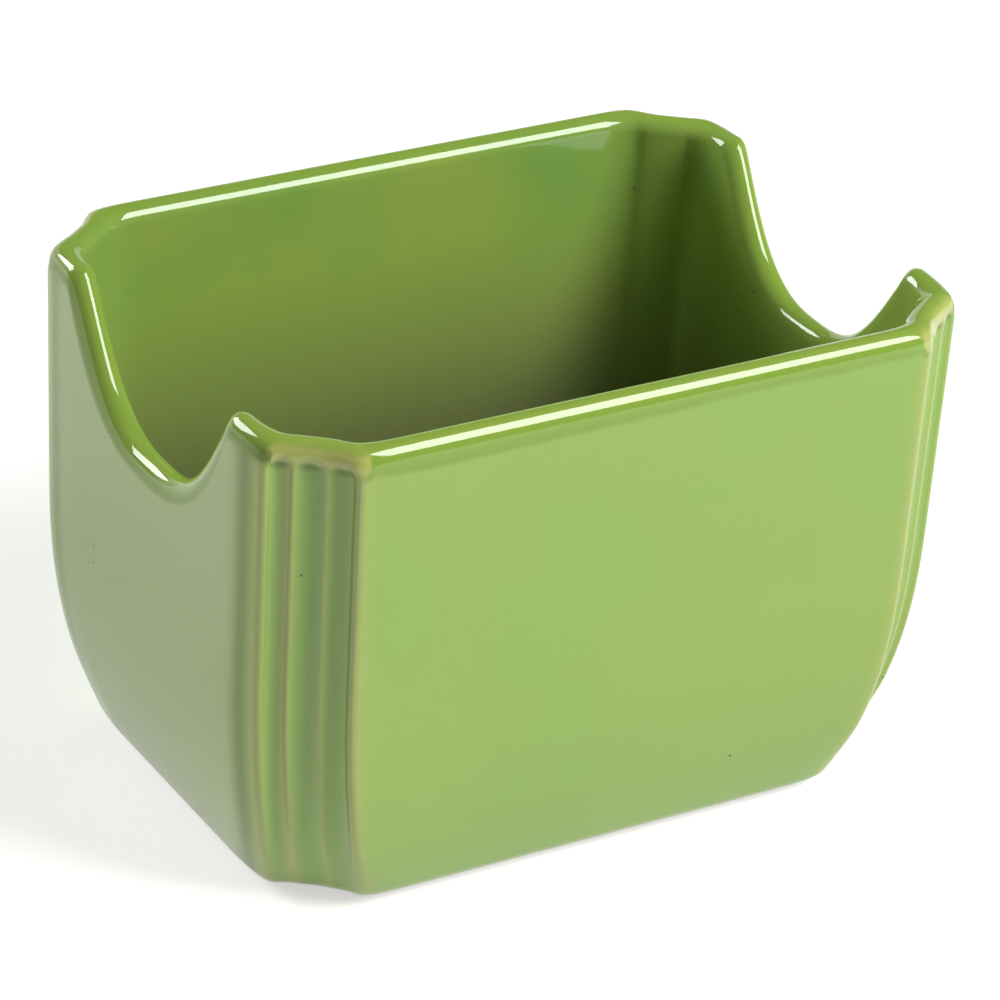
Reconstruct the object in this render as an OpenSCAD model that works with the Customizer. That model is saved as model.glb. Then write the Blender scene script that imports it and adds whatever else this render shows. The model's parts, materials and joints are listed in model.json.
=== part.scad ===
// Sugar packet holder: a one-piece glazed stoneware box on a dry foot.
// Long walls are flat panels, end walls are scooped for the fingers, and the
// four corners step in through fluted ridges that follow the curved-in base.

/* [Overall size] */
// Length at the rim, over the two end walls
body_l = 96; // [88:1:116]
// Width at the rim, over the two flat panels
body_w = 71; // [64:1:86]
// Height from the foot to the top of the rim
body_h = 65; // [56:1:78]

/* [Walls and glaze] */
// Thickness of the wall and its rounded rim, glaze included
wall_t = 3.8; // [3.2:0.1:5]
// Height of the rim's rounding on the outside
rim_outer_h = 3; // [2.2:0.1:3.4]
// Height of the rim's rounding on the inside
rim_inner_h = 2; // [1.6:0.1:2.6]
// Thickness of the floor above the table, glaze included
floor_t = 5; // [4:0.1:7]
// Thickness of the fired glaze
glaze_t = 0.4; // [0.3:0.05:0.6]
// Extra glaze that pools in the flutes
glaze_pool = 0.1; // [0:0.05:0.2]

/* [Stepped corners] */
// Length that each corner takes from a flat panel
corner_l = 9.5; // [8:0.1:12]
// Width that each corner takes from an end wall
corner_w = 7.8; // [6.6:0.1:9]
// Depth of the hollow flutes between the ridges
flute_depth = 0.8; // [0.4:0.05:1.1]
// Distance from the top of the rim down to the ends of the flutes
flute_top_gap = 1.7; // [1.2:0.1:2.1]
// Height over which the flutes run out in their rounded ends
flute_end_h = 2.2; // [1.4:0.1:3.5]
// Height below which the ridges soften toward the foot
soft_h = 11; // [8:0.5:16]
// Rounding of the ridge beside each flat panel
panel_edge_r = 1.4; // [0.8:0.1:1.8]
// The same rounding at the foot
foot_panel_edge_r = 4; // [2:0.1:5]
// Rounding of the ridge beside each end wall
end_edge_r = 3.2; // [2:0.1:3.8]
// The same rounding at the foot
foot_end_edge_r = 5.8; // [3.8:0.1:6]
// Rounding inside the box behind the panel ridge
inner_panel_edge_r = 3; // [2:0.1:4]
// Rounding inside the box behind the end wall ridge
inner_end_edge_r = 4; // [2.5:0.1:5]

/* [Finger scoops] */
// Depth of the scoop in each end wall, down from the rim
scoop_depth = 16.4; // [12:0.1:20]
// Width of each scoop where it leaves the rim
scoop_w = 40.4; // [36:0.2:46]

/* [Curved base] */
// Height below which the walls curve in
curve_h = 33.5; // [28:0.5:38]
// How far each end wall curves in at the foot
curve_in_l = 5.2; // [3:0.1:7]
// How far each long wall curves in at the foot
curve_in_w = 4.9; // [3:0.1:6.5]
// How much each end wall leans in from rim to foot
lean_l = 1.1; // [0.5:0.1:2.5]
// How much each long wall leans in from rim to foot
lean_w = 0.8; // [0.5:0.1:2.5]
// Rounding of the bottom edge
foot_edge_r = 2.6; // [2:0.1:3.2]
// Rounding between the walls and the floor inside
floor_r = 6; // [4:0.1:8]

/* [Foot] */
// Width of the dry ring that touches the table
foot_w = 4.5; // [3:0.1:6]
// Depth of the recess inside the dry ring
recess_depth = 1.2; // [0.8:0.1:1.8]
// Height of the lower edge of the outside glaze
glaze_line_h = 1.2; // [0.9:0.1:1.25]
// Dry margin between the recess edge and the glaze in the recess
recess_margin = 0.8; // [0.4:0.1:1.5]

/* [Hidden] */

// Places of the four ridges, as shares of corner_l and corner_w
ridge_l_share = [0, 0.25, 0.57, 1];
ridge_w_share = [0, 0.44, 0.74, 1];
// Powers of the curves: base seen from the side and from the end, and scoop
curve_power_l = 2.4;
curve_power_w = 3;
scoop_power = 2.8;
scoop_shoulder_power = 1.3;
// The rim's roll stretches with the slope of the scoop, up to this factor
roll_stretch_max = 1.9;

// Steps along the outline
panel_edge_steps = 2;
flute_steps = 4;
end_edge_steps = 3;
// Points down an end wall as shares of its half width, closest at the scoop's shoulder
end_wall_share = [0.91, 0.83, 0.75, 0.66, 0.52, 0.35, 0.17, 0];
// Stations up the wall, as angles on the roundings and shares of heights
line_angle = acos(1 - glaze_line_h / foot_edge_r);
curve_share = [0.1, 0.22, 0.37, 0.54, 0.75, 1];
inner_curve_share = [1, 0.62, 0.3, 0];
roll_angles = [0, 14, 28, 56, 90, 135, 180];
floor_angles = [45, 90];
foot_angles = [0, 30];

half_l = body_l / 2;
half_w = body_w / 2;
roll_r = wall_t / 2;
scoop_half = scoop_w / 2;
// Points of the corner's ridges, from the panel to the end wall
ridges = [for (k = [0:3])
    [half_l - corner_l * (1 - ridge_l_share[k]), half_w - corner_w * ridge_w_share[k]]];
panel_half = ridges[0][0];
end_half = ridges[3][1];
// The same ridges inside the wall, moved in by the wall's thickness
inner_ridges = [for (k = [0:3])
    inset_corner(k == 0 ? [0, half_w] : ridges[k - 1], ridges[k],
        k == 3 ? [half_l, 0] : ridges[k + 1], wall_t)];

function unit(v) = v / norm(v);
// Normal of the run from a to b that points into the box
function inward(a, b) = unit([b[1] - a[1], a[0] - b[0]]);
// The corner b of the outline a, b, c, moved in by t from both runs
function inset_corner(a, b, c, t) =
    let (m = inward(a, b), n = inward(b, c))
    b + (m + n) * t / (1 + m * n);

// Arc of radius r that rounds the corner b of the outline a, b, c
function round_corner(a, b, c, r, steps) =
    let (
        u = unit(a - b),
        v = unit(c - b),
        half = acos(u * v) / 2,
        centre = b + unit(u + v) * r / sin(half),
        start = b + u * r / tan(half) - centre,
        end = b + v * r / tan(half) - centre,
        sweep = 180 - 2 * half
    )
    [for (k = [0:steps]) let (s = k / steps)
        centre + (start * sin((1 - s) * sweep) + end * sin(s * sweep)) / sin(sweep)];

// Inner points of a hollow flute between two ridges. Its end share runs from 0,
// full depth, to 1 at the tip of its rounded end
function flute(a, b, depth, end_share) =
    [for (k = [1:flute_steps - 1])
        let (s = k / flute_steps, hollow = max(0, 4 * s * (1 - s) - end_share * end_share))
        a + (b - a) * s + inward(a, b) * depth * hollow];

// Points from a down the end wall to its middle, without a itself
function end_wall(a) = [for (s = end_wall_share) [a[0], a[1] * s]];

// Outline of one corner, from the flat panel to the middle of the end wall
function corner(r, depth, end_share, panel_r, end_r) =
    let (
        first = round_corner([0, r[0][1]], r[0], r[1], panel_r, panel_edge_steps),
        last = round_corner(r[2], r[3], [r[3][0], 0], end_r, end_edge_steps)
    )
    concat(
        first, flute(first[panel_edge_steps], r[1], depth, end_share),
        [r[1]], flute(r[1], r[2], depth, end_share),
        [r[2]], flute(r[2], last[0], depth, end_share),
        last, end_wall(last[end_edge_steps])
    );

function between(low, high, share) = low + (high - low) * share;

// The corner at a depth in from the outside. Its cut is the depth and the end
// share of the flutes, and a share of the soft outline that the foot has
function corner_at(depth_in, cut) =
    let (
        crisp = corner(ridges, cut[0], cut[1], panel_edge_r, end_edge_r),
        soft = corner(ridges, 0, 0, foot_panel_edge_r, foot_end_edge_r),
        outside = between(crisp, soft, cut[2]),
        inside = corner(inner_ridges, 0, 0, inner_panel_edge_r, inner_end_edge_r)
    )
    between(outside, inside, depth_in / wall_t);

function backwards(list) = [for (i = [len(list) - 1:-1:0]) list[i]];
function without_first(list) = [for (i = [1:len(list) - 1]) list[i]];
function without_last(list) = [for (i = [0:len(list) - 2]) list[i]];
function mirrored(list, sx, sy) = [for (p = list) [p[0] * sx, p[1] * sy]];
// The whole outline, once round from the middle of the right end wall
function all_round(c) = concat(
    backwards(c),
    mirrored(c, -1, 1),
    without_first(backwards(mirrored(c, -1, -1))),
    without_last(mirrored(c, 1, -1))
);

// How far a wall stands in at height z, from its lean and its curve
function wall_in(z, lean, curve_in, power) =
    lean * max(0, 1 - z / (body_h - rim_outer_h)) + curve_in * pow(max(0, 1 - z / curve_h), power);

// Height that the scoop takes off the rim at a distance y from its middle
function scoop_drop(y) =
    let (s = min(1, abs(y) / scoop_half))
    scoop_depth * pow(1 - pow(s, scoop_power), scoop_shoulder_power);
// Steepness of the scoop there
function scoop_slope(y) =
    let (s = min(1, abs(y) / scoop_half))
    scoop_depth / scoop_half * scoop_shoulder_power * scoop_power
        * pow(1 - pow(s, scoop_power), scoop_shoulder_power - 1) * pow(s, scoop_power - 1);

// Cuts with no flutes: the corners of the walls, and of the foot
plain = [0, 0, 0];
softened = [0, 0, 1];
rim_line = all_round(corner_at(0, plain));
count = len(rim_line);
rim_z = [for (p = rim_line) body_h - (abs(p[0]) > panel_half ? scoop_drop(p[1]) : 0)];
stretch = [for (p = rim_line)
    abs(p[0]) > panel_half ? min(roll_stretch_max, norm([1, scoop_slope(p[1])])) : 1];

// One ring of the surface: depth in from the outside, cut of the corners,
// a further step in all round, and a height for each point
function ring(depth_in, cut, step_in, heights) =
    let (line = all_round(corner_at(depth_in, cut)))
    [for (i = [0:count - 1])
        let (
            x = line[i][0],
            y = line[i][1],
            z = heights[i],
            in_x = step_in + wall_in(z, lean_l, curve_in_l, curve_power_l),
            in_y = step_in + wall_in(z, lean_w, curve_in_w, curve_power_w)
        )
        [x - sign(x) * in_x * min(1, abs(x) / panel_half),
            y - sign(y) * in_y * min(1, abs(y) / end_half), z]];

function level(z) = [for (i = [0:count - 1]) z];
// Height of the rim's rounding at an angle, from 0 outside to 180 inside
function roll_h(a) = between(rim_outer_h, rim_inner_h, (1 - cos(a)) / 2);
// How far the flutes have run out at a drop below the top of the rim
function run_out(drop) = min(1, max(0, 1 - (drop - flute_top_gap) / flute_end_h));
// How much of the soft outline of the foot there is at a height
function soft_share(z) = min(1, max(0, (soft_h - z) / (soft_h - foot_edge_r)));

// Rings of the glazed surface from the glaze line up the outside, over the
// rim and down to the floor, or of the clay under it at the depth off
function coat_rings(off) =
    let (
        flutes = off > 0 ? flute_depth + glaze_pool : flute_depth,
        inner = wall_t - off,
        edge_r = foot_edge_r - off,
        fillet_r = floor_r + off,
        fillet_z = floor_t + floor_r
    )
    concat(
        [for (a = [line_angle, 90])
            ring(off, softened, edge_r * (1 - sin(a)), level(foot_edge_r - edge_r * cos(a)))],
        [for (s = curve_share) let (z = between(foot_edge_r, curve_h, s))
            ring(off, [flutes, 0, soft_share(z)], 0, level(z))],
        [ring(off, [flutes, 0, 0], 0, rim_z - stretch * (flute_top_gap + flute_end_h))],
        [for (a = roll_angles) let (drop = roll_h(a) * (1 - sin(a)) + off * sin(a))
            ring(roll_r - (roll_r - off) * cos(a), [flutes, run_out(drop), 0], 0,
                rim_z - stretch * drop)],
        [for (s = inner_curve_share) ring(inner, plain, 0, level(between(fillet_z, curve_h, s)))],
        [for (a = floor_angles)
            ring(inner, plain, fillet_r * (1 - cos(a)), level(fillet_z - fillet_r * sin(a)))]
    );

// Rings of the dry foot, from the recess out to the bottom edge
recess_step = foot_edge_r + foot_w - wall_t;
foot_rings = concat(
    [ring(wall_t, plain, recess_step + recess_depth, level(recess_depth))],
    [ring(wall_t, plain, recess_step, level(0))],
    [for (a = foot_angles)
        ring(glaze_t, softened, foot_edge_r * (1 - sin(a)), level(foot_edge_r * (1 - cos(a))))]
);

// Closed solid through rings of equal count, with a flat cap on its first and
// last that fans out from a point in the middle
module loft(rings, inside_out = false) {
    last = (len(rings) - 1) * count;
    hub = len(rings) * count;
    caps = [for (i = [0:count - 1]) let (j = (i + 1) % count)
        each [[hub, i, j], [hub + 1, last + j, last + i]]];
    sides = [for (r = [0:len(rings) - 2], i = [0:count - 1])
        let (
            a = r * count + i,
            b = r * count + (i + 1) % count,
            c = b + count,
            d = a + count
        )
        each [[a, c, b], [a, d, c]]];
    faces = concat(caps, sides);
    polyhedron(
        points = concat(
            [for (r = rings) each r],
            [[0, 0, rings[0][0][2]], [0, 0, rings[len(rings) - 1][0][2]]]
        ),
        faces = inside_out ? [for (f = faces) backwards(f)] : faces
    );
}

// Fired clay shell: walls, rolled rim, floor and dry foot ring
module stoneware_body() {
    color("tan")
    loft(concat(foot_rings, coat_rings(glaze_t)));
}

// Glass layer that wraps the outside, the rim and the whole inside
module glaze_coat() {
    color("olivedrab")
    loft(concat(backwards(coat_rings(0)), coat_rings(glaze_t)), inside_out = true);
}

// Patch of glaze on the roof of the recess, inside the dry foot ring
module base_glaze() {
    edge = ring(wall_t, plain, recess_step + recess_depth + recess_margin, level(recess_depth));
    color("olivedrab")
    translate([0, 0, recess_depth - glaze_t])
    linear_extrude(glaze_t)
    polygon([for (p = edge) [p[0], p[1]]]);
}

stoneware_body();
glaze_coat();
base_glaze();
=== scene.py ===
import json
import math

import bmesh
import bpy
from mathutils import Matrix, Vector

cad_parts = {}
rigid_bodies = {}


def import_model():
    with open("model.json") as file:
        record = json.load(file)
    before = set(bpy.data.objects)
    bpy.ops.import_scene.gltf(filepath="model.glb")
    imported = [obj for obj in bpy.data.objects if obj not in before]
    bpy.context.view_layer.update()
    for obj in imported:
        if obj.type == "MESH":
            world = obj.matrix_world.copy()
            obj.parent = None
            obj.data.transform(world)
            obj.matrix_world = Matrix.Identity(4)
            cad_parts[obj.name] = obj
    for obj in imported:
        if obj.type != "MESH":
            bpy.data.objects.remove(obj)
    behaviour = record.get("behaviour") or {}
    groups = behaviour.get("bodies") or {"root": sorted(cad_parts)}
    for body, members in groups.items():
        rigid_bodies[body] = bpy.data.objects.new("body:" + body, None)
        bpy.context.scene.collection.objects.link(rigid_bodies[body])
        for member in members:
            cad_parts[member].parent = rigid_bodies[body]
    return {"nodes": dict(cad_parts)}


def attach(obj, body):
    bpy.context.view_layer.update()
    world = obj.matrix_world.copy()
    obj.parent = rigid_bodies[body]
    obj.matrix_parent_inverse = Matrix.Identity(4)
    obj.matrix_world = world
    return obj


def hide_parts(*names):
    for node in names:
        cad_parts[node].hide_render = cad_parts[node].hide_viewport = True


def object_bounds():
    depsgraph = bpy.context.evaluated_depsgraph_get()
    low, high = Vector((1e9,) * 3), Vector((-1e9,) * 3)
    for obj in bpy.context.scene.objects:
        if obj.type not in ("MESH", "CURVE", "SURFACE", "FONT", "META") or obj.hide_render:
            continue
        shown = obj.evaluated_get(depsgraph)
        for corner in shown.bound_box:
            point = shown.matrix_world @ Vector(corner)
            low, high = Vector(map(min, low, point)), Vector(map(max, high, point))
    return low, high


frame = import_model()
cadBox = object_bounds()
mm = 0.001
tiny = 0.01 * mm
nearMiddle = 1 * mm  # only what belongs on a mirror plane lies closer to it than this
seedSize = 1 * mm  # the planes that a mesh or an outline starts from
print("frame loaded:", ", ".join(sorted(frame["nodes"])))

# The outer sizes come from the frame, the others follow the construction
holder = {
    "length": cadBox[1].x - cadBox[0].x,
    "width": cadBox[1].y - cadBox[0].y,
    "height": cadBox[1].z - cadBox[0].z,
    "wall": 3.8 * mm,
    "rimOuter": 3 * mm,  # height of the rim's rounding, outside and inside
    "rimInner": 2 * mm,
    "floor": 5 * mm,
    "glaze": 0.4 * mm,
    "cornerLength": 9.5 * mm,
    "cornerWidth": 7.8 * mm,
    "ridgeLengthShares": (0, 0.29, 0.61, 1),
    "ridgeWidthShares": (0, 0.44, 0.74, 1),
    "scoopDepth": 16.4 * mm,
    "scoopWidth": 40.4 * mm,
    "scoopPower": 2.8,
    "scoopShoulderPower": 1.3,
    "rollStretchMost": 1.9,
    "curveHeight": 33.5 * mm,  # below this the walls curve in towards the foot
    "curveInLength": 5.2 * mm,
    "curveInWidth": 4.9 * mm,
    "curvePowerLength": 2.4,
    "curvePowerWidth": 3,
    "leanLength": 1.1 * mm,
    "leanWidth": 0.8 * mm,
    "floorRound": 6 * mm,
    "footRound": 2.6 * mm,
    "footRing": 4.5 * mm,
    "recess": 1.2 * mm,
    "recessMargin": 0.8 * mm,  # bare clay around the glaze under the base
}
halfLength = holder["length"] / 2
halfWidth = holder["width"] / 2
wallTop = holder["height"] - holder["rimOuter"]
scoopHalf = holder["scoopWidth"] / 2

# How the corners are shaped, and how finely the outline is cut
outline = {
    "fluteDepth": 0.8 * mm,
    "fluteTopGap": 1.7 * mm,
    "fluteEnd": 2.2 * mm,
    "softHeight": 11 * mm,
    "panelRound": 1.4 * mm,
    "endRound": 1.8 * mm,
    "endEase": 0.5 * mm,
    "insideHollow": 0.05 * mm,
    "insidePanelRound": 3 * mm,
    "insideEndRound": 3.2 * mm,
    "ridgeSoftness": 0.4 * mm,
    "room": 7 * mm,  # straight wall beside the ridges that is cut as finely as the corner
    "roomSteps": 7,
    "ridgeSteps": 2,
    "panelRoundSteps": 3,
    "endRoundSteps": 5,
    "fluteSteps": 8,
    "panelCuts": 14,
    "endCuts": 26,
    "smoothing": 0.5,
    "rimSmoothing": 14,
    "footSmoothing": 22,
    "insideSmoothing": 20,
}
fluteTop = holder["height"] - outline["fluteTopGap"]


# Where the walls stand at a height

def wallIn(height, way):
    lean = max(0, 1 - height / wallTop)
    curve = max(0, 1 - height / holder["curveHeight"]) ** holder["curvePower" + way]
    return holder["lean" + way] * lean + holder["curveIn" + way] * curve


def lengthIn(height):
    return wallIn(height, "Length")


def widthIn(height):
    return wallIn(height, "Width")


def scoopDrop(y):
    rest = 1 - min(1, abs(y) / scoopHalf) ** holder["scoopPower"]
    return holder["scoopDepth"] * rest ** holder["scoopShoulderPower"]


def rollStretch(y):
    # the rolled rim is taller where the scoop is steep, so that it keeps its shape across the slope
    step = 0.05 * mm
    slope = (scoopDrop(y + step) - scoopDrop(y - step)) / (2 * step)
    return min(holder["rollStretchMost"], math.hypot(1, slope))


# Corner outlines, seen from above, for the quarter at +X and +Y

def inward(a, b):
    return Vector((b.y - a.y, a.x - b.x, 0)).normalized()


outerRidges = [
    Vector((
        halfLength - holder["cornerLength"] * (1 - lengthShare),
        halfWidth - holder["cornerWidth"] * widthShare,
        0,
    ))
    for lengthShare, widthShare in zip(holder["ridgeLengthShares"], holder["ridgeWidthShares"])
]
panelRidge = outerRidges[0]
endRidge = outerRidges[-1]
endRidge.x -= outline["endEase"]
# where the straight walls end and the corner, with some room beside its ridges, begins
cornerFrom = Vector((panelRidge.x - outline["room"], endRidge.y - outline["room"], 0))


def ridgesAt(depth):
    # the four ridges of a corner, moved in from the outside by a depth
    chain = [Vector((0, halfWidth, 0)), *outerRidges, Vector((halfLength, 0, 0))]
    moved = []
    for before, ridge, after in zip(chain, chain[1:], chain[2:]):
        m = inward(before, ridge)
        n = inward(ridge, after)
        moved.append(ridge + (m + n) * depth / (1 + m.dot(n)))
    return moved


def roundedCorner(before, corner, after, radius):
    # centre, first point and last point of the arc that rounds a corner
    u = (before - corner).normalized()
    v = (after - corner).normalized()
    half = u.angle(v) / 2
    centre = corner + (u + v).normalized() * radius / math.sin(half)
    reach = radius / math.tan(half)
    return centre, corner + u * reach, corner + v * reach


# Edit mode helpers

def selectParts(piece, kind, rule):
    # selects the vertices or the edges that a rule picks
    bpy.ops.mesh.select_mode(type=kind)
    bpy.ops.mesh.select_all(action="DESELECT")
    mesh = bmesh.from_edit_mesh(piece.data)
    for part in mesh.edges if kind == "EDGE" else mesh.verts:
        part.select = rule(part)
    mesh.select_flush_mode()
    bmesh.update_edit_mesh(piece.data)


def selectVertices(piece, rule):
    # the vertices that lie where a rule says
    selectParts(piece, "VERT", lambda vert: rule(vert.co))


def selectEdges(piece, rule):
    # the edges whose two ends lie where a rule says
    selectParts(piece, "EDGE", lambda edge: rule(edge.verts[0].co, edge.verts[1].co))


def selectOpenEdges(piece, rule):
    # the same for the open edges of the mesh alone
    selectParts(
        piece,
        "EDGE",
        lambda edge: edge.is_boundary and rule(edge.verts[0].co, edge.verts[1].co),
    )


def atHeight(height):
    # the rule for edges that lie level at a height
    return lambda a, b: abs(a.z - height) < tiny and abs(b.z - height) < tiny


def newPiece(name):
    bpy.ops.object.select_all(action="DESELECT")
    bpy.ops.mesh.primitive_plane_add(size=seedSize)
    piece = bpy.context.object
    piece.name = name
    piece.data.name = name
    bpy.ops.object.mode_set(mode="EDIT")
    bpy.ops.mesh.delete(type="VERT")
    return piece


def addPoint(place):
    # a plane merged to one vertex, as the start of an outline
    bpy.ops.mesh.primitive_plane_add(size=seedSize, location=place)
    bpy.ops.mesh.merge(type="CENTER")


def drawLine(start, end, steps=1):
    for _ in range(steps):
        bpy.ops.mesh.extrude_vertices_move(
            TRANSFORM_OT_translate={"value": (end - start) / steps}
        )


def drawEasedLine(start, end, steps):
    # a line whose way in X is done early, so that it runs out straight along Y
    for k in range(steps):
        left = (1 - k / steps) ** 2 - (1 - (k + 1) / steps) ** 2
        move = ((end.x - start.x) * left, (end.y - start.y) / steps, 0)
        bpy.ops.mesh.extrude_vertices_move(TRANSFORM_OT_translate={"value": move})


def drawArc(centre, start, end, steps):
    a = start - centre
    b = end - centre
    turn = math.atan2(a.x * b.y - a.y * b.x, a.x * b.x + a.y * b.y)
    bpy.ops.mesh.spin(steps=steps, angle=-turn, center=centre, axis=(0, 0, 1))


def drawHollow(start, end, depth):
    # a shallow arc that bows into the box between two ridges
    radius = ((end - start).length ** 2 / 4 + depth ** 2) / (2 * depth)
    middle = (start + end) / 2
    centre = middle - inward(start, end) * (radius - depth)
    drawArc(centre, start, end, outline["fluteSteps"])


def drawCorner(piece, depth, place, inside=False):
    # a quarter of an outline, from the middle of the panel to the middle of the end wall
    hollow = outline["insideHollow" if inside else "fluteDepth"]
    panelRound = outline["insidePanelRound" if inside else "panelRound"]
    endRound = outline["insideEndRound" if inside else "endRound"]
    first, second, third, last = [ridge + place for ridge in ridgesAt(depth)]
    panelMiddle = Vector((place.x, first.y, place.z))
    panelStart = Vector((cornerFrom.x + place.x, first.y, place.z))
    endStop = Vector((halfLength - depth + place.x, cornerFrom.y + place.y, place.z))
    endMiddle = Vector((endStop.x, place.y, place.z))
    panelCentre, panelEnd, firstRidge = roundedCorner(panelMiddle, first, second, panelRound)
    endCentre, lastRidge, endStart = roundedCorner(third, last, endStop, endRound)
    bpy.ops.mesh.select_mode(type="VERT")
    addPoint(panelMiddle)
    drawLine(panelMiddle, panelStart)
    drawLine(panelStart, panelEnd, outline["roomSteps"])
    drawArc(panelCentre, panelEnd, firstRidge, outline["panelRoundSteps"])
    ridges = (firstRidge, second, third, lastRidge)
    for a, b in zip(ridges, ridges[1:]):
        drawHollow(a, b, hollow)
    drawArc(endCentre, lastRidge, endStart, outline["endRoundSteps"])
    drawEasedLine(endStart, endStop, outline["roomSteps"])
    drawLine(endStop, endMiddle)
    # the ridges are softened, as glaze leaves them
    selectVertices(piece, lambda co: any((co - ridge).length < tiny for ridge in ridges))
    bpy.ops.mesh.bevel(
        offset=outline["ridgeSoftness"],
        segments=outline["ridgeSteps"],
        affect="VERTICES",
        clamp_overlap=True,
    )
    bpy.ops.mesh.select_linked()


def evenOut(piece, place, repeats):
    # evens out the corner of the selected outline between its two straight walls
    mesh = bmesh.from_edit_mesh(piece.data)
    fromX = cornerFrom.x + place.x + tiny
    fromY = cornerFrom.y + place.y + tiny
    for vert in mesh.verts:
        if vert.co.x < fromX or vert.co.y < fromY:
            vert.select = False
    mesh.select_flush_mode()
    bmesh.update_edit_mesh(piece.data)
    bpy.ops.mesh.vertices_smooth(factor=outline["smoothing"], repeat=repeats, zaxis=False)
    bpy.ops.mesh.select_linked()


def hollowAt(place, ridges):
    # how far a place on the outline lies inside the line between two ridges
    for a, b in zip(ridges, ridges[1:]):
        along = (place - a).dot(b - a) / (b - a).length_squared
        hollow = (place - a).dot(inward(a, b))
        if 0 < along < 1 and hollow > 0:
            return inward(a, b) * hollow
    return Vector()


def drawFlutedCorner(piece, depth, place):
    # the outline as it is at the rim, where the flutes have run out; two attributes hold the
    # ways from there back to the flutes and on to the softer line of the foot
    drawCorner(piece, depth, place)
    mesh = bmesh.from_edit_mesh(piece.data)
    toFlutes = mesh.verts.layers.float_vector.new("toFlutes")
    mesh.verts.layers.float_vector.new("toFoot")
    for vert in mesh.verts:
        vert[toFlutes] = vert.co
    bmesh.update_edit_mesh(piece.data)
    evenOut(piece, place, outline["footSmoothing"])
    mesh = bmesh.from_edit_mesh(piece.data)
    toFlutes = mesh.verts.layers.float_vector["toFlutes"]
    toFoot = mesh.verts.layers.float_vector["toFoot"]
    ridges = [ridge + place for ridge in ridgesAt(depth)]
    for vert in mesh.verts:
        vert[toFoot] = vert.co
        vert.co = vert[toFlutes] - hollowAt(vert[toFlutes], ridges)
    bmesh.update_edit_mesh(piece.data)
    evenOut(piece, place, outline["rimSmoothing"])
    mesh = bmesh.from_edit_mesh(piece.data)
    toFlutes = mesh.verts.layers.float_vector["toFlutes"]
    toFoot = mesh.verts.layers.float_vector["toFoot"]
    for vert in mesh.verts:
        vert[toFlutes] -= vert.co
        vert[toFoot] -= vert.co
    bmesh.update_edit_mesh(piece.data)


def pull(levels):
    # each level is a height and a step in; the selected outline is extruded through them
    for (high, stepBefore), (low, stepAfter) in zip(levels, levels[1:]):
        step = stepAfter - stepBefore
        moveX = lengthIn(high) - lengthIn(low) - step
        moveY = widthIn(high) - widthIn(low) - step
        bpy.ops.mesh.extrude_region_move(
            TRANSFORM_OT_translate={"value": (moveX, moveY, low - high)}
        )


def straightLevels(high, low, count):
    return [(high + (low - high) * k / count, 0) for k in range(count + 1)]


def roundLevels(centreHeight, radius, angles):
    # levels down a quarter round, from upright at 0 degrees to flat at 90
    turns = [math.radians(angle) for angle in angles]
    return [
        (centreHeight - radius * math.sin(turn), radius * (1 - math.cos(turn))) for turn in turns
    ]


def wallPlace(height, stepIn):
    return Vector((-lengthIn(height) - stepIn, -widthIn(height) - stepIn, height))


# How finely the walls are cut from the rim down, and where the glaze ends under them
skin = {
    "fluteEndLevels": 3,
    "upperLevels": 13,
    "lowerLevels": 18,
    "insideUpperLevels": 11,
    "insideLowerLevels": 12,
    "quarterRound": range(10, 91, 10),  # degrees
    "glazeLine": (8, 16, 24, 30),  # degrees down the rounding of the foot
    "glazeLineDrop": 0.1 * mm,
    "glazeLineIn": 0.3 * mm,
    "rollCuts": 23,
    "footCuts": 3,
    "recessLevels": 4,
    "floorRings": 10,
}

# Where the glaze runs thin and breaks brownish, where shade and dark and pale reflections are
# painted on, and how wavy it lies
glazeRun = {
    "ridgeWidths": (1.4 * mm, 0.5 * mm, 0.95 * mm, 1.15 * mm),
    "ridgeStrengths": (0.85, 0.55, 0.95, 1),
    "panelShift": 0.25 * mm,
    "ridgeShift": 0.35 * mm,
    "endShift": 0.5 * mm,
    # the band beside the end ridge breaks brownish and also holds a painted dark reflection of the
    # rounded corner
    "brownAndShade": 1,
    "brownAndShadePlace": 3.2 * mm,
    "brownAndShadeWidth": 1.7 * mm,
    # where the painted pale reflection of the floor starts on the end walls
    "paleReflectionFrom": 2.5 * mm,
    "crest": 0.2,  # the places across the rim go from 0 outside to 1 inside
    "crestPlace": 0.33,
    "crestWidth": 0.14,
    "edge": 0.8,
    "edgePlace": 0.08,
    "edgeWidth": 0.09,
    "band": 1.6,
    "bandEnd": 0.5,
    "bandWidth": 1.2 * mm,
    # painted shade in the flutes' tops, where they end under the rim
    "tipShadePlace": 0.35,
    "tipShadeWidth": 0.25,
    "waviness": 0.08 * mm,
    "waveLength": 25 * mm,
}


def easeBetween(value, low, high):
    share = min(1, max(0, (value - low) / (high - low)))
    return share * share * (3 - 2 * share)


def bell(value, centre, width):
    return math.exp(-(((value - centre) / width) ** 2))


def rimHeight(across):
    # the rim's rounding is taller on the outside
    outer, inner = holder["rimOuter"], holder["rimInner"]
    return outer + (inner - outer) * easeBetween(across, 0, 1)


def mark(piece, name, rule):
    # an attribute with a number for each vertex; what is cut in between shares it out
    mesh = bmesh.from_edit_mesh(piece.data)
    layer = mesh.verts.layers.float.new(name)
    for vert in mesh.verts:
        vert[layer] = rule(vert)
    bmesh.update_edit_mesh(piece.data)


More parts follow.
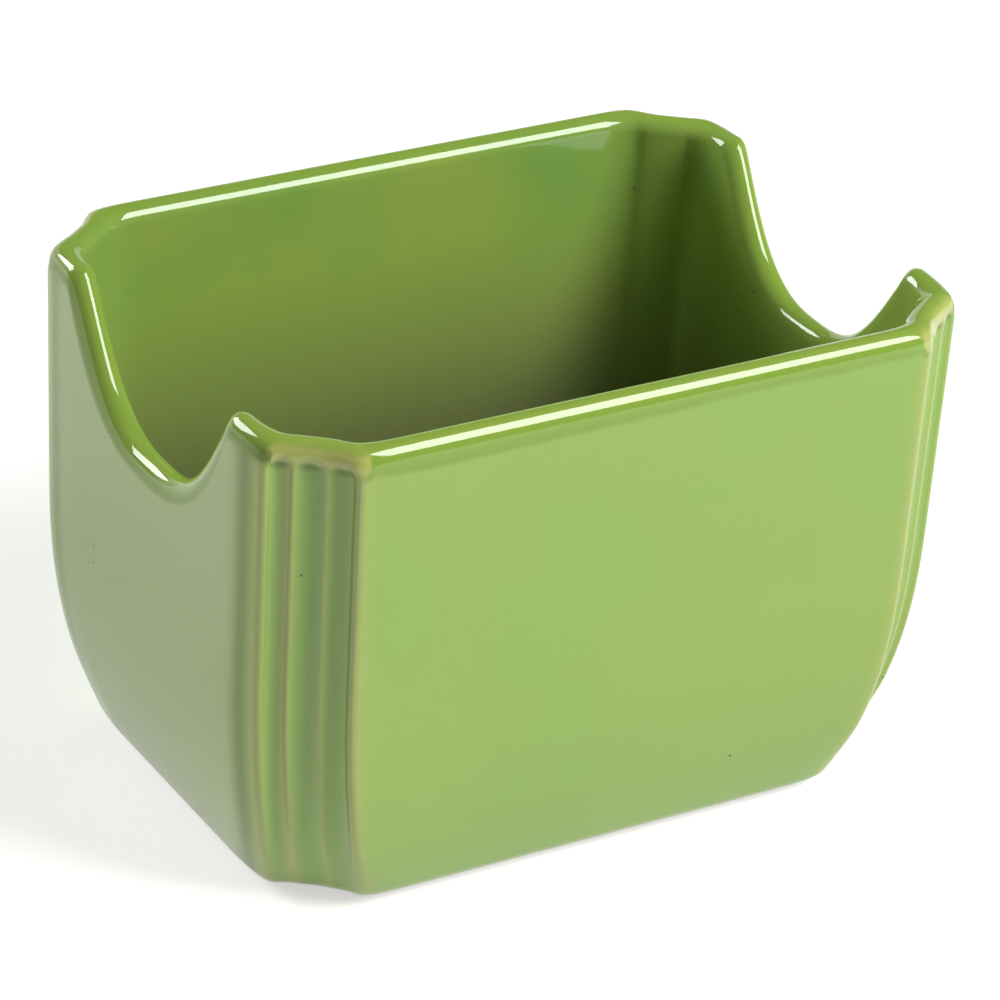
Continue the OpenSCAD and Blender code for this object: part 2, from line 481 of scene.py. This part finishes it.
def markGlaze(piece):
    # where the glaze runs thin over the ridges and the rim and breaks brownish beside them, a band
    # that also holds a painted dark reflection, and where the end walls carry a painted pale
    # reflection of the floor
    slant = Vector((-1, 1, 0)).normalized() * glazeRun["ridgeShift"]
    shifts = (
        Vector((glazeRun["panelShift"], 0, 0)),
        Vector(),
        slant,
        Vector((0, glazeRun["endShift"], 0)),
    )
    marks = list(zip(outerRidges, shifts, glazeRun["ridgeWidths"], glazeRun["ridgeStrengths"]))
    bandWidth = glazeRun["bandWidth"]
    mesh = bmesh.from_edit_mesh(piece.data)
    acrossRim = mesh.verts.layers.float["acrossRim"]
    thin = mesh.verts.layers.float.new("glazeThin")
    brownAndShade = mesh.verts.layers.float.new("brownGlazeAndShade")
    paleReflection = mesh.verts.layers.float.new("paintedPaleReflection")
    for vert in mesh.verts:
        place = vert.co + Vector((lengthIn(vert.co.z), widthIn(vert.co.z), -vert.co.z))
        across = vert[acrossRim]
        beside = endRidge.y - place.y
        onEndWall = place.x > endRidge.x - bandWidth
        onCorner = place.x > panelRidge.x - bandWidth and place.y > endRidge.y
        if across == 0:
            for ridge, shift, width, strength in marks:
                near = (place - ridge + shift).length
                vert[thin] = max(vert[thin], strength * bell(near, 0, width))
            if onEndWall:
                # brownish band beside the end ridge: broken glaze with a painted dark reflection
                broken = bell(beside, glazeRun["brownAndShadePlace"], glazeRun["brownAndShadeWidth"])
                vert[brownAndShade] = glazeRun["brownAndShade"] * broken
                # painted pale reflection of the floor on the end walls, away from the ridge
                vert[paleReflection] = min(1, max(0, beside / glazeRun["paleReflectionFrom"] - 1))
        elif across < 1:
            crest = bell(across, glazeRun["crestPlace"], glazeRun["crestWidth"])
            onBand = onCorner and across < glazeRun["bandEnd"]
            band = bell(vert.co.z, fluteTop, bandWidth) if onBand else 0
            vert[thin] = max(glazeRun["crest"] * crest, glazeRun["band"] * band)
            if onEndWall:
                edge = bell(across, glazeRun["edgePlace"], glazeRun["edgeWidth"])
                vert[brownAndShade] = edge * glazeRun["brownAndShade" if beside < holder["wall"] else "edge"]
    bmesh.update_edit_mesh(piece.data)


def carveCorners(piece):
    # flutes up to their rounded ends, and softer ridges down at the foot
    least = 0.01  # share of a flute's depth, so that nothing is divided by zero
    mesh = bmesh.from_edit_mesh(piece.data)
    toFlutes = mesh.verts.layers.float_vector["toFlutes"]
    toFoot = mesh.verts.layers.float_vector["toFoot"]
    pool = mesh.verts.layers.float.new("glazePool")
    brownAndShade = mesh.verts.layers.float["brownGlazeAndShade"]
    for vert in mesh.verts:
        ended = min(1, max(0, 1 - (fluteTop - vert.co.z) / outline["fluteEnd"]))
        softened = easeBetween(-vert.co.z, -outline["softHeight"], -holder["footRound"])
        hollow = min(1, vert[toFlutes].length / outline["fluteDepth"])
        kept = max(0, 1 - ended ** 2 / max(hollow, least)) * (1 - softened)
        vert[pool] = hollow * kept
        # painted shade, as brownish colour, in the deep tops of the flutes
        if ended > 0:
            tipShade = bell(ended, glazeRun["tipShadePlace"], glazeRun["tipShadeWidth"])
            vert[brownAndShade] = max(vert[brownAndShade], max(0, 2 * hollow - 1) * tipShade)
        vert.co += vert[toFlutes] * kept + vert[toFoot] * softened
    bmesh.update_edit_mesh(piece.data)


def cutScoop(piece):
    # lowers the end wall's rim; the attribute says how far along the wall a vertex is
    mesh = bmesh.from_edit_mesh(piece.data)
    alongEnd = mesh.verts.layers.float["alongEnd"]
    acrossRim = mesh.verts.layers.float["acrossRim"]
    height, curveHeight = holder["height"], holder["curveHeight"]
    for vert in mesh.verts:
        y = cornerFrom.y * vert[alongEnd]
        drop = scoopDrop(y)
        before = vert.co.z
        if drop == 0 or before <= curveHeight:
            continue
        if 0 < vert[acrossRim] < 1:
            vert.co.z = height - drop - (height - before) * rollStretch(y)
        else:
            rim = rimHeight(vert[acrossRim])
            share = (before - curveHeight) / (height - rim - curveHeight)
            top = height - drop - rim * rollStretch(y)
            vert.co.z = curveHeight + share * (top - curveHeight)
        vert.co.x -= lengthIn(vert.co.z) - lengthIn(before)
    bmesh.update_edit_mesh(piece.data)


def squareMiddles(piece):
    # the middles of the walls go back onto the mirror planes
    selectVertices(piece, lambda co: co.x < nearMiddle)
    bpy.ops.transform.resize(value=(0, 1, 1), center_override=(0, 0, 0))
    selectVertices(piece, lambda co: co.y < nearMiddle)
    bpy.ops.transform.resize(value=(1, 0, 1), center_override=(0, 0, 0))


def cutStrips(piece):
    # cuts the wide strips between the corners and the mirror planes into narrow ones
    selectEdges(piece, lambda a, b: min(a.x, b.x) < nearMiddle < max(a.x, b.x))
    bpy.ops.mesh.subdivide(number_cuts=outline["panelCuts"])
    selectEdges(piece, lambda a, b: min(a.y, b.y) < nearMiddle < max(a.y, b.y))
    bpy.ops.mesh.subdivide(number_cuts=outline["endCuts"])


def addAndApply(piece, kind, **settings):
    modifier = piece.modifiers.new(kind.title(), kind)
    for name, value in settings.items():
        setattr(modifier, name, value)
    bpy.ops.object.modifier_apply(modifier=modifier.name)


def mirrorQuarter(piece):
    bpy.ops.object.mode_set(mode="OBJECT")
    for axis in ((True, False, False), (False, True, False)):
        addAndApply(piece, "MIRROR", use_axis=axis, merge_threshold=tiny)
    bpy.ops.object.mode_set(mode="EDIT")


def closeWithRings():
    # the selected loop is drawn in ring by ring and merged in the middle
    for k in range(skin["floorRings"], 1, -1):
        bpy.ops.mesh.extrude_region_move()
        smaller = (k - 1) / k
        bpy.ops.transform.resize(value=(smaller, smaller, 1), center_override=(0, 0, 0))
    bpy.ops.mesh.extrude_region_move()
    bpy.ops.mesh.merge(type="CENTER")


def leaveEditMode():
    # doubles are merged and the faces turned outwards on the way out
    bpy.ops.mesh.select_mode(type="VERT")
    bpy.ops.mesh.select_all(action="SELECT")
    bpy.ops.mesh.remove_doubles(threshold=tiny / 10)
    bpy.ops.mesh.normals_make_consistent(inside=False)
    bpy.ops.object.mode_set(mode="OBJECT")


def rollRim(piece, depth):
    # gives the bridged rim its rounded section, from 0 outside to 1 inside
    mesh = bmesh.from_edit_mesh(piece.data)
    acrossRim = mesh.verts.layers.float["acrossRim"]
    for vert in mesh.verts:
        across = vert[acrossRim]
        if 0 < across < 1:
            arch = 4 * across * (1 - across)
            vert.co.z = holder["height"] - rimHeight(across) * (1 - arch) - depth * arch
    bmesh.update_edit_mesh(piece.data)


def outsideWallLevels():
    fluteEnd = fluteTop - outline["fluteEnd"]
    levels = straightLevels(wallTop, fluteEnd, skin["fluteEndLevels"])
    levels += straightLevels(fluteEnd, holder["curveHeight"], skin["upperLevels"])[1:]
    levels += straightLevels(holder["curveHeight"], holder["footRound"], skin["lowerLevels"])[1:]
    return levels


def quarterWalls(piece, depth, outsideLevels):
    # one quarter of the walls: outside, rolled rim and inside, at a depth under the glaze
    filletCentre = holder["floor"] + holder["floorRound"]
    insideTop = holder["height"] - holder["rimInner"]
    insidePlace = wallPlace(insideTop, 0)
    drawFlutedCorner(piece, depth, wallPlace(wallTop, 0))
    pull(outsideLevels)
    bpy.ops.mesh.select_all(action="DESELECT")
    drawCorner(piece, holder["wall"] - depth, insidePlace, inside=True)
    evenOut(piece, insidePlace, outline["insideSmoothing"])
    levels = straightLevels(insideTop, holder["curveHeight"], skin["insideUpperLevels"])
    levels += straightLevels(holder["curveHeight"], filletCentre, skin["insideLowerLevels"])[1:]
    levels += roundLevels(filletCentre, holder["floorRound"] + depth, skin["quarterRound"])
    pull(levels)
    bpy.ops.mesh.select_linked()
    mark(piece, "acrossRim", lambda vert: 1 if vert.select else 0)
    # the rim is bridged as an arch between the two top outlines
    selectOpenEdges(piece, lambda a, b: min(a.z, b.z) > wallTop - tiny)
    bpy.ops.mesh.bridge_edge_loops(
        number_cuts=skin["rollCuts"], interpolation="SURFACE", smoothness=1
    )
    rollRim(piece, depth)


def finishWalls(piece):
    # the rest of the quarter, its mirror images and the closed floor
    squareMiddles(piece)
    mark(piece, "alongEnd", lambda vert: 0 if vert.co.y < nearMiddle else 1)
    cutStrips(piece)
    markGlaze(piece)
    carveCorners(piece)
    cutScoop(piece)
    mirrorQuarter(piece)
    selectOpenEdges(piece, atHeight(holder["floor"]))
    closeWithRings()


# Glazed surface, from the glaze line up the outside, over the rim and across the floor

def makeGlazeCoat():
    piece = newPiece("glazeCoat")
    levels = outsideWallLevels()
    levels += roundLevels(holder["footRound"], holder["footRound"], skin["glazeLine"])
    lastHeight, lastStep = levels[-1]
    levels.append((lastHeight - skin["glazeLineDrop"], lastStep + skin["glazeLineIn"]))
    quarterWalls(piece, 0, levels)
    finishWalls(piece)
    leaveEditMode()
    waves = bpy.data.textures.new("glazeWaves", "CLOUDS")
    waves.noise_scale = glazeRun["waveLength"]
    addAndApply(
        piece,
        "DISPLACE",
        texture=waves,
        texture_coords="LOCAL",
        direction="NORMAL",
        strength=glazeRun["waviness"],
        mid_level=1,
    )
    addAndApply(piece, "SOLIDIFY", thickness=holder["glaze"], offset=-1)
    bpy.ops.object.shade_smooth()
    return piece


# Clay under the glaze, with the dry foot ring and the recess inside it

def makeStonewareBody():
    piece = newPiece("stonewareBody")
    levels = outsideWallLevels()
    levels += roundLevels(holder["footRound"], holder["footRound"], skin["quarterRound"])
    quarterWalls(piece, holder["glaze"], levels)
    bpy.ops.mesh.select_all(action="DESELECT")
    recessStep = holder["footRound"] + holder["footRing"] - holder["wall"]
    drawCorner(piece, holder["wall"], wallPlace(0, recessStep), inside=True)
    count = skin["recessLevels"]
    rises = [holder["recess"] * k / count for k in range(count + 1)]
    pull([(rise, recessStep + rise) for rise in rises])
    selectOpenEdges(piece, atHeight(0))
    bpy.ops.mesh.bridge_edge_loops(number_cuts=skin["footCuts"], interpolation="LINEAR")
    finishWalls(piece)
    selectOpenEdges(piece, lambda a, b: True)
    closeWithRings()
    leaveEditMode()
    bpy.ops.object.shade_smooth()
    return piece


# Patch of glaze under the floor; its soft edge goes down and in by shares of the glaze
softEdgeShares = ((0, 0), (0.35, 0), (0.65, 0.2), (0.85, 0.6), (0.96, 1.2), (1, 2))


def makeBaseGlaze():
    piece = newPiece("baseGlaze")
    recess, thick = holder["recess"], holder["glaze"]
    recessStep = holder["footRound"] + holder["footRing"] - holder["wall"]
    step = recessStep + recess + holder["recessMargin"]
    drawCorner(piece, holder["wall"], wallPlace(recess, step), inside=True)
    pull([(recess - thick * drop, step + thick * inset) for drop, inset in softEdgeShares])
    squareMiddles(piece)
    cutStrips(piece)
    mirrorQuarter(piece)
    for height in (recess, recess - thick):
        selectOpenEdges(piece, atHeight(height))
        closeWithRings()
    leaveEditMode()
    bpy.ops.object.shade_smooth()
    return piece


glazeCoat = makeGlazeCoat()
print("glaze coat modelled:", len(glazeCoat.data.polygons), "faces")
stonewareBody = makeStonewareBody()
print("stoneware body modelled:", len(stonewareBody.data.polygons), "faces")
baseGlaze = makeBaseGlaze()
print("base glaze modelled:", len(baseGlaze.data.polygons), "faces")


# Materials

def newMaterial(name):
    material = bpy.data.materials.new(name)
    material.use_nodes = True
    tree = material.node_tree
    tree.nodes.clear()
    shader = tree.nodes.new("ShaderNodeBsdfPrincipled")
    output = tree.nodes.new("ShaderNodeOutputMaterial")
    tree.links.new(shader.outputs["BSDF"], output.inputs["Surface"])
    return material, tree, shader


def objectCoordinates(tree):
    return tree.nodes.new("ShaderNodeTexCoord").outputs["Object"]


def attributeNode(tree, name):
    node = tree.nodes.new("ShaderNodeAttribute")
    node.attribute_name = name
    return node.outputs["Fac"]


def heightNode(tree, coordinates):
    node = tree.nodes.new("ShaderNodeSeparateXYZ")
    tree.links.new(coordinates, node.inputs["Vector"])
    return node.outputs["Z"]


def noiseNode(tree, coordinates, scale, detail=3, roughness=0.5):
    node = tree.nodes.new("ShaderNodeTexNoise")
    node.inputs["Scale"].default_value = scale
    node.inputs["Detail"].default_value = detail
    node.inputs["Roughness"].default_value = roughness
    tree.links.new(coordinates, node.inputs["Vector"])
    return node.outputs["Fac"]


def rangeNode(tree, value, fromRange, toRange=(0, 1)):
    node = tree.nodes.new("ShaderNodeMapRange")
    names = ("From Min", "From Max", "To Min", "To Max")
    for name, number in zip(names, (*fromRange, *toRange)):
        node.inputs[name].default_value = number
    tree.links.new(value, node.inputs["Value"])
    return node.outputs["Result"]


def shareNode(tree, value, most):
    # a value from 0 to 1, taken down to a share of it
    return rangeNode(tree, value, (0, 1), (0, most))


def mathNode(tree, operation, a, b):
    node = tree.nodes.new("ShaderNodeMath")
    node.operation = operation
    for socket, value in zip(node.inputs, (a, b)):
        if isinstance(value, (int, float)):
            socket.default_value = value
        else:
            tree.links.new(value, socket)
    return node.outputs["Value"]


def mixNode(tree, factor, a, b):
    # inputs 6 and 7 and output 2 are the node's colours, which share their names with its numbers
    node = tree.nodes.new("ShaderNodeMix")
    node.data_type = "RGBA"
    tree.links.new(factor, node.inputs["Factor"])
    for socket, value in ((node.inputs[6], a), (node.inputs[7], b)):
        if isinstance(value, tuple):
            socket.default_value = (*value, 1)
        else:
            tree.links.new(value, socket)
    return node.outputs[2]


def addBump(tree, shader, relief, strength, height):
    bump = tree.nodes.new("ShaderNodeBump")
    bump.inputs["Strength"].default_value = strength
    bump.inputs["Distance"].default_value = height
    tree.links.new(relief, bump.inputs["Height"])
    tree.links.new(bump.outputs["Normal"], shader.inputs["Normal"])


greenGlaze = {
    "green": (0.315, 0.512, 0.094),
    "yellowGreen": (0.37, 0.515, 0.094),
    "yellowPatches": (0.42, 0.72),  # patches go by the values of their noise
    "yellowMost": 0.7,
    # paler end walls: a painted reflection of the pale floor
    "paleReflection": (0.35, 0.425, 0.16),
    "paleReflectionMost": 0.8,
    # deeper green on the rim: partly thicker glaze, partly painted shade
    "rim": (0.24, 0.4, 0.04),
    "rimGreenAndShadeMost": 0.85,
    "rimAcross": (0.03, 0.15),
    # painted shade a little way down the walls, under the rim's rounding
    "rimShadeHeights": (61.4 * mm, 62.1 * mm),
    "rimWave": 0.6 * mm,
    "rimWavePatches": (0.3, 0.7),
    "inside": (0.325, 0.46, 0.085),
    "insideAcross": (0.5, 1),
    "insideTop": (0.22, 0.42, 0.085),
    # painted shade: darker and greyer inside low down, and a darker green on the floor
    "insideLowShade": (0.19, 0.22, 0.08),
    "insideFloorShade": (0.22, 0.36, 0.06),
    "insideShadeHeights": (26 * mm, 52 * mm),
    "insideFloorShadeHeights": (26 * mm, 10 * mm),
    "insideTopHeights": (40 * mm, 58 * mm),
    "insideTopPatches": (0.42, 0.6),
    "thin": (0.5, 0.55, 0.145),
    "thinMottle": (0.3, 0.65),
    "thinShares": (0.7, 1.1),
    "pooled": (0.25, 0.48, 0.05),
    "pooledFrom": 0.1,
    "pooledMost": 0.35,
    # brownish broken glaze, also painted dark reflection beside the end ridges and painted shade in
    # the flutes' tops
    "brownAndShade": (0.2, 0.27, 0.06),
    "brownAndShadeMost": 0.9,
    "shine": 0.5,
    "brownAndShadeShine": 0.22,
    "pit": (0.1, 0.1, 0.05),
    "pitScale": 300,
    "pitSize": 0.07,
    "pitShare": 0.26,
    "patchScale": 28,
    "mottleScale": 420,
    "mottleDetail": 4,
    "mottleRoughness": 0.6,
    "roughness": 0.05,
    "ior": 1.58,
    "bumpScale": 160,
    "bumpDetail": 2,
    "bumpStrength": 0.25,
    "bumpHeight": 0.06 * mm,
}


def outsideColour(tree, height, patches, across):
    # yellower in patches, paler on the end walls as a painted reflection of the floor, and deeper
    # green on the rim, partly thicker glaze and partly painted shade, which reaches a little way
    # down
    look = greenGlaze
    yellow = rangeNode(tree, patches, look["yellowPatches"], (0, look["yellowMost"]))
    colour = mixNode(tree, yellow, look["green"], look["yellowGreen"])
    paleReflection = shareNode(tree, attributeNode(tree, "paintedPaleReflection"), look["paleReflectionMost"])
    colour = mixNode(tree, paleReflection, colour, look["paleReflection"])
    wave = rangeNode(tree, patches, look["rimWavePatches"], (-look["rimWave"], look["rimWave"]))
    wavyHeight = mathNode(tree, "ADD", height, wave)
    rim = mathNode(
        tree,
        "MAXIMUM",
        rangeNode(tree, across, look["rimAcross"], (0, look["rimGreenAndShadeMost"])),
        rangeNode(tree, wavyHeight, look["rimShadeHeights"], (0, look["rimGreenAndShadeMost"])),
    )
    return mixNode(tree, rim, colour, look["rim"])


def insideColour(tree, height, patches):
    # painted shade: darker and greyer low down, purer green but still darker on the floor; and
    # deeper green in patches near the rim
    look = greenGlaze
    up = rangeNode(tree, height, look["insideShadeHeights"])
    colour = mixNode(tree, up, look["insideLowShade"], look["inside"])
    down = rangeNode(tree, height, look["insideFloorShadeHeights"])
    colour = mixNode(tree, down, colour, look["insideFloorShade"])
    high = rangeNode(tree, height, look["insideTopHeights"])
    patched = rangeNode(tree, patches, look["insideTopPatches"])
    return mixNode(tree, mathNode(tree, "MULTIPLY", high, patched), colour, look["insideTop"])


def pinholes(tree, coordinates):
    # a few pinholes, one in some cells of a pattern
    size = greenGlaze["pitSize"]
    cells = tree.nodes.new("ShaderNodeTexVoronoi")
    cells.inputs["Scale"].default_value = greenGlaze["pitScale"]
    tree.links.new(coordinates, cells.inputs["Vector"])
    chosen = mathNode(tree, "LESS_THAN", cells.outputs["Color"], greenGlaze["pitShare"])
    hole = rangeNode(tree, cells.outputs["Distance"], (size, size / 2))
    return mathNode(tree, "MULTIPLY", hole, chosen)


def makeGlazeMaterial():
    look = greenGlaze
    material, tree, shader = newMaterial("greenGlaze")
    coordinates = objectCoordinates(tree)
    height = heightNode(tree, coordinates)
    across = attributeNode(tree, "acrossRim")
    brownAndShade = attributeNode(tree, "brownGlazeAndShade")
    patches = noiseNode(tree, coordinates, look["patchScale"])
    colour = mixNode(
        tree,
        rangeNode(tree, across, look["insideAcross"]),
        outsideColour(tree, height, patches, across),
        insideColour(tree, height, patches),
    )
    pool = attributeNode(tree, "glazePool")
    pooled = rangeNode(tree, pool, (look["pooledFrom"], 1), (0, look["pooledMost"]))
    colour = mixNode(tree, pooled, colour, look["pooled"])
    mottle = noiseNode(
        tree, coordinates, look["mottleScale"], look["mottleDetail"], look["mottleRoughness"]
    )
    mottled = rangeNode(tree, mottle, look["thinMottle"], look["thinShares"])
    thin = mathNode(tree, "MULTIPLY", attributeNode(tree, "glazeThin"), mottled)
    colour = mixNode(tree, thin, colour, look["thin"])
    # brownish glaze, with the painted dark reflection and shade marked with it
    colour = mixNode(tree, shareNode(tree, brownAndShade, look["brownAndShadeMost"]), colour, look["brownAndShade"])
    pit = pinholes(tree, coordinates)
    colour = mixNode(tree, pit, colour, look["pit"])
    tree.links.new(colour, shader.inputs["Base Color"])
    ripple = noiseNode(tree, coordinates, look["bumpScale"], look["bumpDetail"])
    relief = mathNode(tree, "SUBTRACT", ripple, pit)
    addBump(tree, shader, relief, look["bumpStrength"], look["bumpHeight"])
    shine = rangeNode(tree, brownAndShade, (0, 1), (look["shine"], look["brownAndShadeShine"]))
    tree.links.new(shine, shader.inputs["Specular IOR Level"])
    shader.inputs["Roughness"].default_value = look["roughness"]
    shader.inputs["IOR"].default_value = look["ior"]
    return material


bareClay = {
    "light": (0.66, 0.56, 0.43),
    "dark": (0.5, 0.4, 0.29),
    "toneScale": 60,
    "tonePatches": (0.35, 0.7),
    "toneMost": 0.5,
    "grainScale": 900,
    "grainDetail": 5,
    "grainRoughness": 0.7,
    "grainPatches": (0.62, 0.75),
    "grainMost": 0.6,
    "bumpStrength": 0.5,
    "bumpHeight": 0.1 * mm,
    "roughness": 0.85,
}


def makeClayMaterial():
    look = bareClay
    material, tree, shader = newMaterial("bareStoneware")
    coordinates = objectCoordinates(tree)
    tone = noiseNode(tree, coordinates, look["toneScale"])
    grain = noiseNode(
        tree, coordinates, look["grainScale"], look["grainDetail"], look["grainRoughness"]
    )
    darker = rangeNode(tree, tone, look["tonePatches"], (0, look["toneMost"]))
    colour = mixNode(tree, darker, look["light"], look["dark"])
    specks = rangeNode(tree, grain, look["grainPatches"], (0, look["grainMost"]))
    colour = mixNode(tree, specks, colour, look["dark"])
    tree.links.new(colour, shader.inputs["Base Color"])
    addBump(tree, shader, grain, look["bumpStrength"], look["bumpHeight"])
    shader.inputs["Roughness"].default_value = look["roughness"]
    return material


glaze = makeGlazeMaterial()
clay = makeClayMaterial()
for piece, material in ((glazeCoat, glaze), (stonewareBody, clay), (baseGlaze, glaze)):
    piece.data.materials.append(material)
print("materials made")


# Floor, lights and camera, in metres, watts and degrees

studio = {
    "floorSize": 8,
    "floorSides": 96,
    "floorColour": (0.72, 0.72, 0.72),
    "floorGlow": 0.55,
    "backdropPlace": (0.5, 1.3, 0.25),
    "backdropSize": (3, 0.5),
    "worldStrength": 0.12,
    "lampDistance": 1.2,
    "keyDirection": (0.45, -0.6, 0.66),
    "keySize": (0.5, 0.74),
    "keyPower": 13.6,
    "backDirection": (-0.5, 0.74, 0.42),
    "backSize": (0.55, 0.5),
    "backPower": 8.5,
}

camera = {
    "azimuth": 31.815,
    "elevation": 28.518,
    "roll": 3.675,
    "distance": 624 * mm,
    "aim": Vector((1.44 * mm, 1.13 * mm, 0)),
    "aimHeight": 31.7 * mm,
    "lens": 182.35,  # lens and sensor are in millimetres of film
    "sensor": 36,
    "clipStart": 10 * mm,
}


def makeStageMaterial():
    # white paper that the camera and reflections see brighter than the lamps light it
    material, tree, shader = newMaterial("studioWhite")
    shader.inputs["Base Color"].default_value = (*studio["floorColour"], 1)
    shader.inputs["Roughness"].default_value = 1
    shader.inputs["Specular IOR Level"].default_value = 0
    shader.inputs["Emission Color"].default_value = (1, 1, 1, 1)
    rays = tree.nodes.new("ShaderNodeLightPath").outputs
    seen = mathNode(tree, "MAXIMUM", rays["Is Camera Ray"], rays["Is Glossy Ray"])
    seen = mathNode(tree, "MAXIMUM", seen, rays["Is Transmission Ray"])
    glow = mathNode(tree, "MULTIPLY", seen, studio["floorGlow"])
    tree.links.new(glow, shader.inputs["Emission Strength"])
    return material


def makeStage():
    bpy.ops.object.select_all(action="DESELECT")
    bpy.ops.mesh.primitive_circle_add(
        vertices=studio["floorSides"], radius=studio["floorSize"], fill_type="NGON"
    )
    floor = bpy.context.object
    floor.name = "studioFloor"
    bpy.ops.mesh.primitive_plane_add(size=1)
    backdrop = bpy.context.object
    backdrop.name = "studioBackdrop"
    bpy.ops.object.mode_set(mode="EDIT")
    bpy.ops.transform.resize(value=(*studio["backdropSize"], 1))
    bpy.ops.transform.rotate(value=math.pi / 2, orient_axis="X", center_override=(0, 0, 0))
    bpy.ops.transform.translate(value=studio["backdropPlace"])
    bpy.ops.object.mode_set(mode="OBJECT")
    material = makeStageMaterial()
    for piece in (floor, backdrop):
        piece.data.materials.append(material)


def addSoftbox(name, direction, size, power):
    # a soft rectangle of light that faces the holder
    light = bpy.data.lights.new(name, "AREA")
    light.shape = "RECTANGLE"
    light.size, light.size_y = size
    light.energy = power
    lamp = bpy.data.objects.new(name, light)
    bpy.context.scene.collection.objects.link(lamp)
    z = Vector(direction).normalized()
    x = Vector((0, 0, 1)).cross(z).normalized()
    turn = Matrix((x, z.cross(x), z)).transposed().to_4x4()
    lamp.matrix_world = Matrix.Translation(z * studio["lampDistance"]) @ turn


def makeCamera():
    data = bpy.data.cameras.new("camera")
    data.sensor_width = camera["sensor"]
    data.lens = camera["lens"]
    data.clip_start = camera["clipStart"]
    data.dof.use_dof = False
    view = bpy.data.objects.new("camera", data)
    bpy.context.scene.collection.objects.link(view)
    turn = (
        Matrix.Rotation(math.radians(-camera["azimuth"]), 4, "Z")
        @ Matrix.Rotation(math.radians(90 - camera["elevation"]), 4, "X")
        @ Matrix.Rotation(math.radians(camera["roll"]), 4, "Z")
    )
    back = camera["aim"] + Vector((0, 0, camera["distance"]))
    place = Vector((0, 0, camera["aimHeight"])) + turn.to_3x3() @ back
    view.matrix_world = Matrix.Translation(place) @ turn
    bpy.context.scene.camera = view


makeStage()
for name in ("key", "back"):
    direction, size, power = (studio[name + part] for part in ("Direction", "Size", "Power"))
    addSoftbox(name + "Softbox", direction, size, power)
makeCamera()

world = bpy.data.worlds.new("studioWorld")
world.use_nodes = True
background = world.node_tree.nodes["Background"]
background.inputs["Color"].default_value = (1, 1, 1, 1)
background.inputs["Strength"].default_value = studio["worldStrength"]
bpy.context.scene.world = world
bpy.context.scene.view_settings.view_transform = "Standard"

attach(glazeCoat, "root")
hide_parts("glaze_coat")
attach(stonewareBody, "root")
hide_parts("stoneware_body")
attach(baseGlaze, "root")
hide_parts("base_glaze")
print("studio set")
